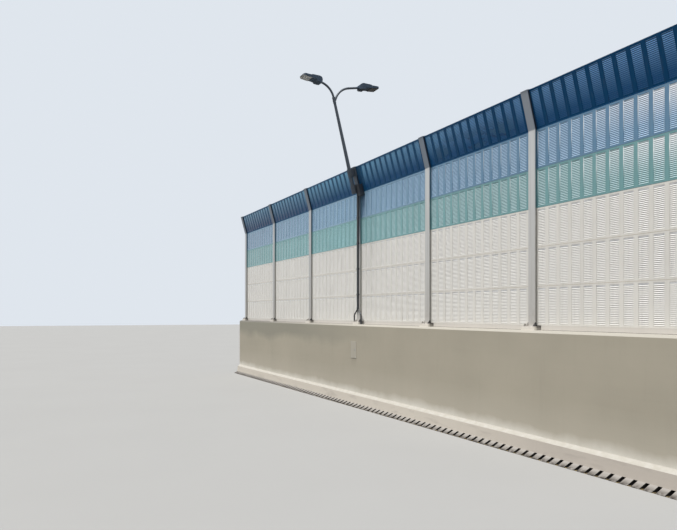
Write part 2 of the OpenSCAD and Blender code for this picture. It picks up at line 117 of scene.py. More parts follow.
# Stretches along the barrier over which a finish changes, from none to full
# The first three stretches are painted highlights and a painted sheen; GREY_HEAD_SPAN and DARK_TOP_SPAN
# are painted shade
GLINT_SPAN = (5.6, 7.2)
EDGE_GLINT_SPAN = (1.5, 5.5)
SHEEN_SPAN = (4.0, -1.0)
DUST_SPAN = (-1.0, -6.5)
GREY_HEAD_SPAN = (4.5, 2.5)
GREY_POST_SPAN = (1.0, -2.5)
PALE_KERB_SPAN = (5.5, 3.5)
DAMP_SPAN = (1.5, -3.0)
DARK_TOP_SPAN = (0.5, -6.0)
# Middle of the smears on the canted row
SMEAR_X = 3.7


def at(x, y, z):
    return Matrix.Translation((x, y, z))


def turn(degrees, axis):
    return Matrix.Rotation(math.radians(degrees), 4, axis)


def heading(degrees):
    """Unit vector in the YZ plane at an angle from +Y."""
    a = math.radians(degrees)
    return Vector((0, math.cos(a), math.sin(a)))


def on_head(back, up):
    """Point on the middle post's head: back from its front face and up along it."""
    return Vector((0, POST_FRONT, FOLD)) + back * heading(CANT) + up * heading(90 + CANT)


def up_pole(up):
    """Point on the lamp pole's axis."""
    return on_head(-POLE_STANDOFF, 0) + up * heading(90 + POLE_LEAN)


def bend_end(start, angle, way):
    """Far end of an arm that leaves its start at an angle and bends one way."""
    centre = start + way * ARM_RADIUS * heading(angle + 90)
    return centre - way * ARM_RADIUS * heading(angle + way * ARM_BEND + 90)


ON_CANT = at(0, POST_FRONT, FOLD) @ turn(CANT, "X")
ON_POLE = Matrix.Translation(up_pole(0)) @ turn(POLE_LEAN, "X")
ROAD_START = up_pole(POLE_TOP + COLLAR_LENGTH)
OUTER_START = up_pole(POLE_TOP + BRANCH_ROOT) + BRANCH_LENGTH * heading(OUTER_ANGLE)
ROAD_HEAD = (
    Matrix.Translation(bend_end(ROAD_START, 90 + POLE_LEAN, 1))
    @ turn(180, "Z")
    @ turn(90 - POLE_LEAN - ARM_BEND, "X")
    @ at(0, ROAD_SPIGOT, 0)
    @ turn(-HEAD_TILT, "X")
)
OUTER_HEAD = (
    Matrix.Translation(bend_end(OUTER_START, OUTER_ANGLE, -1))
    @ turn(OUTER_ANGLE - ARM_BEND, "X")
    @ at(0, OUTER_SPIGOT, 0)
    @ turn(-HEAD_TILT, "X")
)
FORWARD = turn(90, "X")
BACKWARD = turn(-90, "X")


def row_place(x, row):
    """Local frame of a panel: y back from its front sheet, z up along it."""
    if row == UPRIGHT_ROWS:
        return at(x, 0, 0) @ ON_CANT @ at(0, PANEL_FRONT - POST_FRONT, 0)
    return at(x, PANEL_FRONT, PANEL_BOTTOM + row * ROW_HEIGHT)


# Materials


def linear(r, g, b):
    """Linear colour from 8-bit sRGB values."""
    out = []
    for v in (r, g, b):
        v /= 255
        out.append(v / 12.92 if v <= 0.04045 else ((v + 0.055) / 1.055) ** 2.4)
    return (*out, 1.0)


def scaled(colour, k):
    return (colour[0] * k, colour[1] * k, colour[2] * k, 1.0)


WHITE = linear(222, 219, 212)
TEAL = linear(108, 154, 156)
BLUE = linear(88, 127, 156)
NAVY = linear(4, 73, 117)
BRIGHT = linear(254, 254, 254)
# Tones of the painted sheen
SKY_SHEEN = linear(178, 212, 234)
SEA_SHEEN = linear(172, 236, 240)
RAIN_DIRT = linear(112, 104, 90)
# Tone of the painted shade at the posts' feet
FOOT_SHADE_TONE = linear(104, 100, 95)


class Nodes:
    """A small builder for procedural materials in object metres."""

    def __init__(self, name):
        self.material = bpy.data.materials.new(name)
        self.material.use_nodes = True
        self.tree = self.material.node_tree
        self.shader = next(n for n in self.tree.nodes if n.type == "BSDF_PRINCIPLED")
        self.place = self.add("ShaderNodeTexCoord").outputs["Object"]

    def add(self, kind, **settings):
        node = self.tree.nodes.new(kind)
        for key, value in settings.items():
            setattr(node, key, value)
        return node

    def feed(self, socket, value):
        if isinstance(value, bpy.types.NodeSocket):
            self.tree.links.new(value, socket)
        else:
            socket.default_value = value

    def stretched(self, x, y, z):
        node = self.add("ShaderNodeMapping")
        self.feed(node.inputs["Vector"], self.place)
        node.inputs["Scale"].default_value = (x, y, z)
        return node.outputs["Vector"]

    def noise(self, scale, detail=4.0, rough=0.55, vector=None):
        node = self.add("ShaderNodeTexNoise")
        self.feed(node.inputs["Vector"], vector if vector is not None else self.place)
        node.inputs["Scale"].default_value = scale
        node.inputs["Detail"].default_value = detail
        node.inputs["Roughness"].default_value = rough
        return node.outputs["Fac"]

    def ramp(self, value, low, high, out_low=0.0, out_high=1.0):
        node = self.add("ShaderNodeMapRange")
        self.feed(node.inputs["Value"], value)
        node.inputs["From Min"].default_value = low
        node.inputs["From Max"].default_value = high
        node.inputs["To Min"].default_value = out_low
        node.inputs["To Max"].default_value = out_high
        return node.outputs["Result"]

    def math(self, operation, *values):
        node = self.add("ShaderNodeMath", operation=operation)
        for socket, value in zip(node.inputs, values):
            self.feed(socket, value)
        return node.outputs["Value"]

    def above(self, value, limit):
        return self.math("GREATER_THAN", value, limit)

    def below(self, value, limit):
        return self.math("LESS_THAN", value, limit)

    def apart(self, a, b):
        return self.math("ABSOLUTE", self.math("SUBTRACT", a, b))

    def part(self, mask, share):
        """A mask at a share of its strength."""
        return self.math("MULTIPLY", mask, share)

    def both(self, *masks):
        out = masks[0]
        for mask in masks[1:]:
            out = self.math("MULTIPLY", out, mask)
        return out

    def mix(self, factor, a, b):
        node = self.add("ShaderNodeMix", data_type="RGBA")
        self.feed(node.inputs[0], factor)
        self.feed(node.inputs[6], a)
        self.feed(node.inputs[7], b)
        return node.outputs[2]

    def axis(self, letter):
        node = self.add("ShaderNodeSeparateXYZ")
        self.feed(node.inputs["Vector"], self.place)
        return node.outputs[letter]

    def facing(self, letter):
        node = self.add("ShaderNodeSeparateXYZ")
        self.feed(node.inputs["Vector"], self.add("ShaderNodeNewGeometry").outputs["Normal"])
        return node.outputs[letter]

    def along(self, span, out_low=0.0, out_high=1.0):
        """A ramp over a stretch of the barrier."""
        return self.ramp(self.axis("X"), *span, out_low, out_high)

    def by_height(self, low, high, out_low=0.0, out_high=1.0):
        """A ramp over the height above the road."""
        return self.ramp(self.axis("Z"), low, high, out_low, out_high)

    def row_height(self):
        """Height within a row of panels, from 0 at its foot to 1 at its top."""
        above_foot = self.math("SUBTRACT", self.axis("Z"), PANEL_BOTTOM)
        return self.math("FRACT", self.math("DIVIDE", above_foot, ROW_HEIGHT))

    def past_post(self):
        """Distance past the nearest post's centreline, towards the right."""
        return self.math("WRAP", self.axis("X"), BAY_PITCH / 2, -BAY_PITCH / 2)

    def right_foot_shade(self):
        """The right-hand side of each post's foot, painted dark as shade."""
        return self.ramp(self.past_post(), 0.046, 0.056)

    def plate_end_shade(self):
        """The front of each base plate's right-hand end, behind its front bolt, painted dark as shade."""
        return self.both(self.right_foot_shade(), self.ramp(self.axis("Y"), -0.104, -0.080))

    def drift(self, scale):
        """A faint drift of tone over whole panels."""
        return self.ramp(self.noise(scale, 3.0), 0.3, 0.7)

    def bump(self, height, strength, distance):
        node = self.add("ShaderNodeBump")
        node.inputs["Strength"].default_value = strength
        node.inputs["Distance"].default_value = distance
        self.feed(node.inputs["Height"], height)
        self.feed(self.shader.inputs["Normal"], node.outputs["Normal"])

    def orange_peel(self):
        self.bump(self.noise(900.0, 2.0), 0.08, 0.0006)

    def finish(self, colour, rough, metallic=0.0, specular=0.5):
        self.feed(self.shader.inputs["Base Color"], colour)
        self.feed(self.shader.inputs["Roughness"], rough)
        self.feed(self.shader.inputs["Metallic"], metallic)
        self.shader.inputs["Specular IOR Level"].default_value = specular
        return self.material


def streaks(n, tone, dirt, colour=RAIN_DIRT):
    """Lays faint rain streaks over a tone."""
    streak = n.ramp(n.noise(1.0, 5.0, 0.6, n.stretched(26.0, 26.0, 1.1)), 0.52, 0.78)
    return n.mix(n.part(streak, dirt), tone, colour), streak


def sheened(n, tone, amount, sheen_tone):
    """Painted sheen, paler towards the left-hand end of the barrier."""
    return n.mix(n.along(SHEEN_SPAN, 0.0, amount), tone, sheen_tone)


def powder_coat(name, colour, dirt=0.16, rough=0.38, specular=0.5, sheen=0.0, sheen_tone=SKY_SHEEN, lit_underside=None):
    """Satin powder coat with rain streaks, and a tone of its own on its undersides if one is given, as
    painted light.
    """
    n = Nodes(name)
    tone = n.mix(n.drift(0.9), scaled(colour, 0.94), scaled(colour, 1.05))
    # Painted sheen towards the left-hand end, where asked for
    if sheen:
        tone = sheened(n, tone, sheen, sheen_tone)
    tone, streak = streaks(n, tone, dirt)
    # Painted light: the undersides take the given pale tone to lift their shade
    if lit_underside:
        tone = n.mix(n.ramp(n.facing("Z"), -0.4, -0.6), tone, lit_underside)
    n.orange_peel()
    return n.finish(tone, n.ramp(streak, 0.0, 1.0, rough, rough + 0.2), 0.0, specular)


def hood_mask(n, lean=0.0):
    """The louvres' hoods, which look to the road and slope up, less so on a panel that leans."""
    up = n.ramp(n.facing("Z"), 0.05 - lean, 0.18 - lean)
    return n.both(up, n.below(n.facing("Y"), -0.3))


def front_mask(n):
    """The panels' fronts, upright below the fold and leaning over the road above it."""
    reach = math.sin(math.radians(CANT)) * ROW_HEIGHT
    lean = n.by_height(FOLD, FOLD + ROW_HEIGHT, 0.0, reach)
    mid_depth = 0.02
    return n.below(n.math("ADD", n.axis("Y"), lean), mid_depth)


def slot_mask(n):
    """The folds between the hoods, which the coats paint darker than the hoods as painted shade."""
    return n.both(front_mask(n), n.below(n.facing("Z"), 0.9))


# Hoods are painted paler than their sheet, a painted highlight for the sky they catch
def hood_tone(n, sheet, hood):
    return n.mix(n.part(n.drift(1.3), 0.12), hood, sheet)


def dusted(n, tone):
    """Pale dust on the fronts towards the left-hand end."""
    return n.mix(n.both(front_mask(n), n.along(DUST_SPAN, 0.0, 0.24)), tone, linear(227, 206, 203))


def smeared(n, tone):
    """Paler smears with a dark rim over the lower half of the canted panels."""
    reach = n.both(
        front_mask(n),
        n.ramp(n.apart(n.axis("X"), SMEAR_X), 1.1, 0.8),
        n.by_height(FOLD + 0.36, FOLD + 0.22),
        n.by_height(FOLD + 0.02, FOLD + 0.08),
    )
    blot = n.noise(1.0, 4.0, 0.6, n.stretched(2.4, 7.0, 7.0))
    smear = n.both(reach, n.ramp(blot, 0.5, 0.56))
    rim = n.both(reach, n.ramp(n.apart(blot, 0.5), 0.016, 0.008))
    tone = n.mix(n.part(smear, 0.7), tone, linear(58, 106, 140))
    return n.mix(n.part(rim, 0.6), tone, linear(6, 34, 60))


def panel_finish(n, tone, hoods, rain, gleam, specular):
    """Rain streaks and orange peel over a panel, and a gleam on its hoods."""
    tone, streak = streaks(n, tone, rain)
    n.orange_peel()
    return n.finish(tone, n.ramp(streak, 0.0, 1.0, 0.46, 0.6), n.part(hoods, gleam), specular)


def upright_coat(
    name, sheet, hood, slot, shadow_fill, glint=0.0, sheen=0.0, sheen_tone=SKY_SHEEN, lift=0.0, gleam=0.0
):
    """Paint of an upright row: hoods paler and slots darker as painted highlight and shade, and painted
    light under each window's top edge.
    """
    n = Nodes(name)
    height = n.row_height()
    # Painted light: just under each window's top edge the slots, and in the white rows the hoods, take a
    # pale fill over that edge's shadow
    under_edge = n.ramp(height, 0.900, 0.915, 0.0, 0.9)
    pale = hood_tone(n, sheet, hood)
    dark = n.mix(under_edge, slot, shadow_fill)
    # Painted glint: near the right-hand end the hoods and slots whiten over the upper part of each row
    if glint:
        glint_mask = n.both(n.ramp(height, 0.3, 0.95), n.along(GLINT_SPAN, 0.0, glint))
        pale = n.mix(glint_mask, pale, linear(254, 254, 255))
        dark = n.mix(n.part(glint_mask, 0.85), dark, linear(240, 242, 246))
    # Painted light: the white rows' hoods grow paler towards the top rows
    if lift:
        pale = n.mix(n.by_height(PANEL_BOTTOM, 3.0, 0.0, lift), pale, linear(254, 253, 250))
        pale = n.mix(under_edge, pale, shadow_fill)
    # Painted sheen on the hoods towards the left-hand end
    if sheen:
        pale = sheened(n, pale, sheen, sheen_tone)
    hoods = hood_mask(n)
    tone = n.mix(hoods, n.mix(slot_mask(n), sheet, dark), pale)
    if sheen:
        tone = dusted(n, tone)
    return panel_finish(n, tone, hoods, rain=0.14, gleam=gleam, specular=0.5)


def canted_coat(name, sheet, hood, slot, sheen_tone):
    """Paint of the canted row: painted shade in deeper blue towards the fold, smears, and a painted shadow
    of the clamps that leaves the hoods plain.
    """
    n = Nodes(name)
    # Painted shade towards the fold: the hoods darken and the slots lighten into one plain blue sheen
    fold_shade = n.by_height(FOLD + 0.46, FOLD + 0.10)
    # Painted shadow of the lamp pole and clamps on the first column to their right
    clamp_shadow = n.both(n.ramp(n.axis("X"), 0.23, 0.19), n.above(n.axis("X"), 0.0))
    # Painted sheen towards the left-hand end, on the hoods here and on the slots below
    pale = sheened(n, hood_tone(n, sheet, hood), 1.0, sheen_tone)
    pale = n.mix(fold_shade, pale, linear(8, 88, 142))
    pale = n.mix(clamp_shadow, pale, sheet)
    dark = n.mix(fold_shade, sheened(n, slot, 1.0, sheen_tone), linear(10, 104, 166))
    hoods = hood_mask(n, lean=0.22)
    tone = n.mix(hoods, n.mix(slot_mask(n), sheet, dark), pale)
    tone = dusted(n, smeared(n, tone))
    return panel_finish(n, tone, hoods, rain=0.04, gleam=0.0, specular=0.4)


def edge_coat(name, sheet):
    """Edge of a window, painted bright over the upper part of each row as a painted highlight."""
    n = Nodes(name)
    glint_mask = n.both(
        n.ramp(n.row_height(), 0.25, 0.7),
        n.along(EDGE_GLINT_SPAN, 0.1, 1.0),
        n.ramp(n.noise(9.0, 3.0), 0.3, 0.6, 0.6, 1.0),
    )
    return n.finish(n.mix(glint_mask, sheet, linear(252, 252, 252)), 0.4)


def foot_tone(n, tone):
    """A post's grey gussets and dusty base plate, painted dark on their right-hand side as shade."""
    plate_level = PLATE_TOP + 0.0006
    plate = n.below(n.axis("Z"), plate_level)
    gusset = n.both(
        n.above(n.math("ABSOLUTE", n.past_post()), FLANGE_HALF + 0.0004),
        n.above(n.axis("Z"), plate_level),
        n.below(n.axis("Z"), GUSSET_TOP + 0.01),
    )
    tone = n.mix(gusset, tone, n.mix(n.right_foot_shade(), linear(136, 132, 125), linear(56, 54, 54)))
    dust = n.ramp(n.noise(22.0, 4.0), 0.35, 0.7)
    dusty = n.mix(dust, linear(213, 208, 200), linear(199, 192, 183))
    return n.mix(plate, tone, n.mix(n.part(n.plate_end_shade(), 0.85), dusty, FOOT_SHADE_TONE))


def post_coat():
    """Post paint: splashed above the foot, greyer and bluer on the head as painted shade, and greyer on
    the middle post's upper half.
    """
    n = Nodes("post_paint")
    tone = n.mix(n.drift(1.1), linear(194, 196, 196), linear(202, 204, 205))
    tone = n.mix(n.by_height(PLATE_TOP, FOLD), scaled(linear(195, 192, 187), 0.915), tone)
    tone, streak = streaks(n, tone, 0.25, linear(128, 118, 104))
    splash = n.both(n.by_height(1.95, 1.6), n.ramp(n.noise(14.0, 4.0), 0.4, 0.7))
    tone = n.mix(n.part(splash, 0.35), tone, linear(132, 122, 108))
    tone = foot_tone(n, tone)
    # Painted shade on the canted head, with a bluish painted sky reflection, deeper towards the left-hand
    # end
    head = n.mix(n.along(GREY_HEAD_SPAN), linear(168, 175, 184), linear(148, 158, 170))
    tone = n.mix(n.above(n.axis("Z"), FOLD + 0.002), tone, head)
    tone = n.mix(n.along(GREY_POST_SPAN, 0.0, 0.18), tone, linear(90, 94, 98))
    middle = n.both(n.below(n.math("ABSOLUTE", n.axis("X")), 0.1), n.by_height(2.9, 3.5))
    tone = n.mix(middle, tone, linear(106, 116, 126))
    n.orange_peel()
    return n.finish(tone, n.ramp(streak, 0.0, 1.0, 0.4, 0.62))


def shaded_bolt_coat():
    """Grey anchor bolts, painted near black as shade on the right of each post, with brown rubbed marks.
    """
    n = Nodes("shaded_bolt_paint")
    tone = n.mix(n.right_foot_shade(), linear(128, 124, 117), linear(50, 48, 48))
    rubbed = n.ramp(n.noise(160.0, 3.0), 0.4, 0.7, 0.0, 0.3)
    return n.finish(n.mix(rubbed, tone, linear(92, 84, 74)), 0.6)


def seam_foam():
    """Foam between the rows, brown in the white rows and dark above them."""
    n = Nodes("joint_foam")
    mottle = n.ramp(n.noise(30.0, 4.0), 0.3, 0.7)
    brown = n.mix(mottle, linear(166, 156, 138), linear(190, 180, 162))
    dark = n.mix(mottle, linear(84, 98, 98), linear(104, 118, 116))
    upper = n.above(n.axis("Z"), PANEL_BOTTOM + 2.5 * ROW_HEIGHT)
    return n.finish(n.mix(upper, brown, dark), 0.8, 0.0, 0.3)


def gasket():
    """Rubber painted in the shaded tone of the panels it seals: grey, sea green, blue and nearly black."""
    n = Nodes("gasket_rubber")
    tone = linear(150, 148, 142)
    for start, colour in (
        (PANEL_BOTTOM + 3 * ROW_HEIGHT, linear(92, 122, 126)),
        (PANEL_BOTTOM + 4 * ROW_HEIGHT, linear(80, 106, 122)),
        (FOLD, linear(34, 42, 52)),
    ):
        tone = n.mix(n.above(n.axis("Z"), start), tone, colour)
    return n.finish(tone, 0.7, 0.0, 0.3)


def concrete_tone(n, colour):
    """Clouding, board runs, rain marks and specks of fair-faced concrete."""
    cloud = n.ramp(n.noise(0.7, 5.0, 0.6), 0.3, 0.72)
    bands = n.ramp(n.noise(1.0, 4.0, 0.6, n.stretched(0.25, 1.0, 5.0)), 0.35, 0.7)
    runs = n.ramp(n.noise(1.0, 5.0, 0.6, n.stretched(9.0, 9.0, 0.6)), 0.56, 0.82)
    speck = n.ramp(n.noise(140.0, 3.0), 0.35, 0.75)
    pore = n.ramp(n.noise(60.0, 4.0, 0.65), 0.30, 0.42)
    tone = n.mix(cloud, scaled(colour, 0.93), scaled(colour, 1.06))
    tone = n.mix(n.part(bands, 0.3), tone, scaled(colour, 1.1))
    tone = n.mix(n.part(runs, 0.25), tone, scaled(colour, 0.8))
    tone = n.mix(n.part(speck, 0.14), tone, scaled(colour, 0.74))
    n.bump(n.math("ADD", n.part(pore, 0.5), n.part(speck, 0.5)), 0.35, 0.002)
    return tone, speck


def wandering_height(n, scale, low, high):
    """Height above the road with a soft wander, for the edge of a stain."""
    return n.math("ADD", n.axis("Z"), n.ramp(n.noise(scale, 4.0), 0.2, 0.8, low, high))


def parapet_concrete():
    """Parapet: paler near the kerb as painted light thrown up from the road, darker just below the hatch.
    """
    n = Nodes("parapet_concrete")
    tone, speck = concrete_tone(n, linear(172, 165, 149))
    front = n.below(n.axis("Y"), PARAPET_FACE + 0.04)
    # Painted light thrown up from the road, strongest near the kerb
    road_glow = wandering_height(n, 2.2, -0.05, 0.07)
    tone = n.mix(n.both(n.ramp(road_glow, 0.75, 0.3, 0.0, 0.4), front), tone, linear(196, 190, 176))
    tone = n.mix(n.both(n.ramp(road_glow, 0.38, 0.24, 0.0, 0.85), front), tone, linear(220, 216, 206))
    damp = n.both(n.along(DAMP_SPAN), n.ramp(wandering_height(n, 1.1, -0.12, 0.12), 1.1, 1.3), front)
    tone = n.mix(n.part(damp, 0.9), tone, linear(147, 144, 131))
    # Painted shade on the parapet's top, deepening towards the left-hand end
    top = n.mix(n.along(DARK_TOP_SPAN), linear(167, 163, 153), linear(112, 109, 103))
    tone = n.mix(n.ramp(n.facing("Z"), 0.3, 0.6), tone, top)
    hatch_foot = HATCH_Z - HATCH_HALF[1]
    under_hatch = n.both(
        n.ramp(n.apart(n.axis("X"), HATCH_X), 0.14, 0.09),
        n.by_height(hatch_foot - 0.18, hatch_foot - 0.01),
        n.below(n.axis("Z"), hatch_foot),
        front,
    )
    tone = n.mix(n.part(under_hatch, 0.14), tone, linear(104, 98, 86))
    # Painted shade: the parapet's face inside the drain slots is painted near black
    slot_shade = n.both(front, n.below(n.axis("Z"), DRAIN_TOP))
    tone = n.mix(slot_shade, tone, linear(22, 20, 18))
    return n.finish(tone, n.ramp(speck, 0.0, 1.0, 0.78, 0.92), 0.0, 0.3)


def kerb_concrete():
    """Kerb: trowelled top nearly white, face grey, slots painted black as shade."""
    n = Nodes("kerb_concrete")
    tone, speck = concrete_tone(n, linear(186, 178, 168))
    tone = n.mix(n.along(PALE_KERB_SPAN, 0.0, 0.6), tone, linear(210, 203, 190))
    scuff = n.ramp(n.noise(1.0, 5.0, 0.6, n.stretched(1.6, 6.0, 9.0)), 0.56, 0.72)
    tone = n.mix(n.part(scuff, 0.45), tone, linear(158, 150, 142))
    top = n.both(n.ramp(n.facing("Z"), 0.4, 0.7), n.above(n.axis("Z"), DRAIN_TOP + 0.03))
    trowelled = n.mix(n.ramp(n.noise(9.0, 4.0), 0.35, 0.7), linear(172, 169, 162), linear(161, 157, 147))
    tone = n.mix(top, tone, trowelled)
    web = n.both(n.below(n.axis("Z"), DRAIN_TOP + 0.002), n.ramp(n.facing("Z"), 0.1, 0.5))
    tone = n.mix(web, tone, linear(142, 138, 133))
    toe = n.both(n.by_height(0.045, 0.01), n.ramp(n.noise(18.0, 4.0), 0.25, 0.55))
    tone = n.mix(toe, tone, linear(64, 59, 54))
    # Painted shade: the sides and roofs of the drain slots are painted near black
    slot_side = n.above(n.math("ABSOLUTE", n.facing("X")), 0.7)
    slot_roof = n.below(n.facing("Z"), -0.7)
    slot_shade = n.both(
        n.math("MAXIMUM", slot_side, slot_roof),
        n.below(n.math("ABSOLUTE", n.axis("X")), PARAPET_END - 0.01),
        n.below(n.axis("Z"), DRAIN_TOP + 0.001),
    )
    tone = n.mix(slot_shade, tone, linear(24, 22, 19))
    return n.finish(tone, n.ramp(speck, 0.0, 1.0, 0.78, 0.92), 0.0, 0.3)


def mortar():
    """Grout under the base plates, painted darker as shade at the front of each plate's right-hand end."""
    n = Nodes("grout")
    tone, speck = concrete_tone(n, linear(216, 211, 202))
    tone = n.mix(n.part(n.plate_end_shade(), 0.7), tone, FOOT_SHADE_TONE)
    return n.finish(tone, n.ramp(speck, 0.0, 1.0, 0.82, 0.94), 0.0, 0.3)


def drain_bed():
    """Silt on the floor of each slot, painted near black as shade, with yellowish grit at its mouth."""
    n = Nodes("drain_bed")
    mouth = n.ramp(n.axis("Y"), KERB_TOE + 0.05, KERB_TOE + 0.005)
    grit = n.both(mouth, n.ramp(n.noise(240.0, 2.0), 0.5, 0.6))
    tone = n.mix(grit, linear(20, 18, 16), linear(176, 150, 92))
    n.bump(n.noise(160.0, 4.0), 0.6, 0.003)
    return n.finish(tone, n.ramp(mouth, 0.0, 1.0, 0.35, 0.85))


def bare_metal(name, colour):
    """Zinc-coated steel with a mottled spangle."""
    n = Nodes(name)
    spangle = n.ramp(n.noise(260.0, 3.0), 0.35, 0.65)
    tone = n.mix(spangle, scaled(colour, 0.85), scaled(colour, 1.1))
    n.bump(n.noise(700.0, 2.0), 0.1, 0.0004)
    return n.finish(tone, n.ramp(spangle, 0.0, 1.0, 0.42, 0.6), 0.85)


def clear_cover():
    """Clear lamp cover with a thin film of dust, and grey on the outer lamp."""
    n = Nodes("lamp_glass")
    n.shader.inputs["Transmission Weight"].default_value = 0.35
    n.shader.inputs["IOR"].default_value = 1.3
    film = n.ramp(n.noise(30.0, 3.0), 0.3, 0.8)
    tone = n.mix(film, linear(240, 234, 226), linear(226, 219, 210))
    tone = n.mix(n.ramp(n.axis("Y"), -0.7, -0.5), tone, linear(100, 98, 96))
    return n.finish(tone, n.ramp(film, 0.0, 1.0, 0.15, 0.25))


MATERIALS = {
    "concrete": parapet_concrete(),
    "kerb_concrete": kerb_concrete(),
    "grout": mortar(),
    "hatch": powder_coat("hatch_paint", linear(176, 170, 156), dirt=0.3, rough=0.6),
    "sill_paint": powder_coat("sill_paint", linear(206, 201, 194), dirt=0.06),
    "post_steel": post_coat(),
    "white_louvres": upright_coat(
        "white_louvre_paint", WHITE, linear(236, 234, 229), linear(216, 213, 206), BRIGHT, lift=0.5
    ),
    "white_sheet": powder_coat("white_sheet_paint", WHITE, lit_underside=BRIGHT),
    "green_louvres": upright_coat(
        "green_louvre_paint", TEAL, linear(190, 220, 223), linear(36, 112, 118), linear(150, 190, 192),
        glint=1.0, sheen=0.45, sheen_tone=SEA_SHEEN, gleam=0.2,
    ),
    "green_sheet": powder_coat("green_sheet_paint", TEAL, specular=0.7, sheen=0.2, sheen_tone=SEA_SHEEN),
    "blue_louvres": upright_coat(
        "blue_louvre_paint", BLUE, linear(182, 213, 238), linear(10, 78, 134), linear(140, 172, 198),
        glint=1.0, sheen=0.5, sheen_tone=linear(172, 218, 244), gleam=0.2,
    ),
    "blue_sheet": powder_coat("blue_sheet_paint", BLUE, specular=0.7, sheen=0.45),
    "navy_louvres": canted_coat(
        "navy_louvre_paint", NAVY, linear(134, 194, 250), linear(4, 46, 84), linear(160, 222, 252)
    ),
    "navy_sheet": powder_coat(
        "navy_sheet_paint", NAVY, specular=0.15, sheen=0.1, sheen_tone=linear(120, 200, 250)
    ),
    "gasket_rubber": gasket(),
    "lamp_paint": powder_coat("lamp_paint", linear(78, 86, 95), dirt=0.1, rough=0.45),
    "box_paint": powder_coat("box_paint", linear(50, 54, 60), dirt=0.1),
    "head_paint": powder_coat("head_paint", linear(54, 72, 90), dirt=0.1, rough=0.5),
    "lamp_glass": clear_cover(),
    "conduit_paint": powder_coat("conduit_paint", linear(60, 62, 66), dirt=0.12),
}
EXTRA = {
    "shaded_bolt_coat": shaded_bolt_coat(),
    "zinc": bare_metal("zinc_steel", linear(168, 170, 172)),
    "dark_zinc": bare_metal("dark_zinc_steel", linear(96, 98, 102)),
    "seam": seam_foam(),
    "sealant": powder_coat("grey_sealant", linear(84, 80, 75), dirt=0.3, rough=0.6),
    "pale_sealant": powder_coat("pale_sealant", linear(180, 174, 160), dirt=0.3, rough=0.6),
    "drain_bed": drain_bed(),
    "clean_lens": powder_coat("lens_board", linear(228, 230, 232), dirt=0.04, rough=0.35),
    "grey_lens": powder_coat("grey_lens_board", linear(104, 102, 100), dirt=0.04, rough=0.35),
    "green_edge": edge_coat("green_edge_paint", TEAL),
    "blue_edge": edge_coat("blue_edge_paint", BLUE),
}

slots = {s["node"]: s["material_slot"] for s in frame["record"]["subparts"]}
for name, node in nodes.items():
    for place in node.material_slots:
        place.material = MATERIALS[slots[name]]


# Small parts, gathered into joined meshes


def rectangle(x, y, z):
    """Corners of a level rectangle between two x and two y values."""
    return [(x[0], y[0], z), (x[1], y[0], z), (x[1], y[1], z), (x[0], y[1], z)]


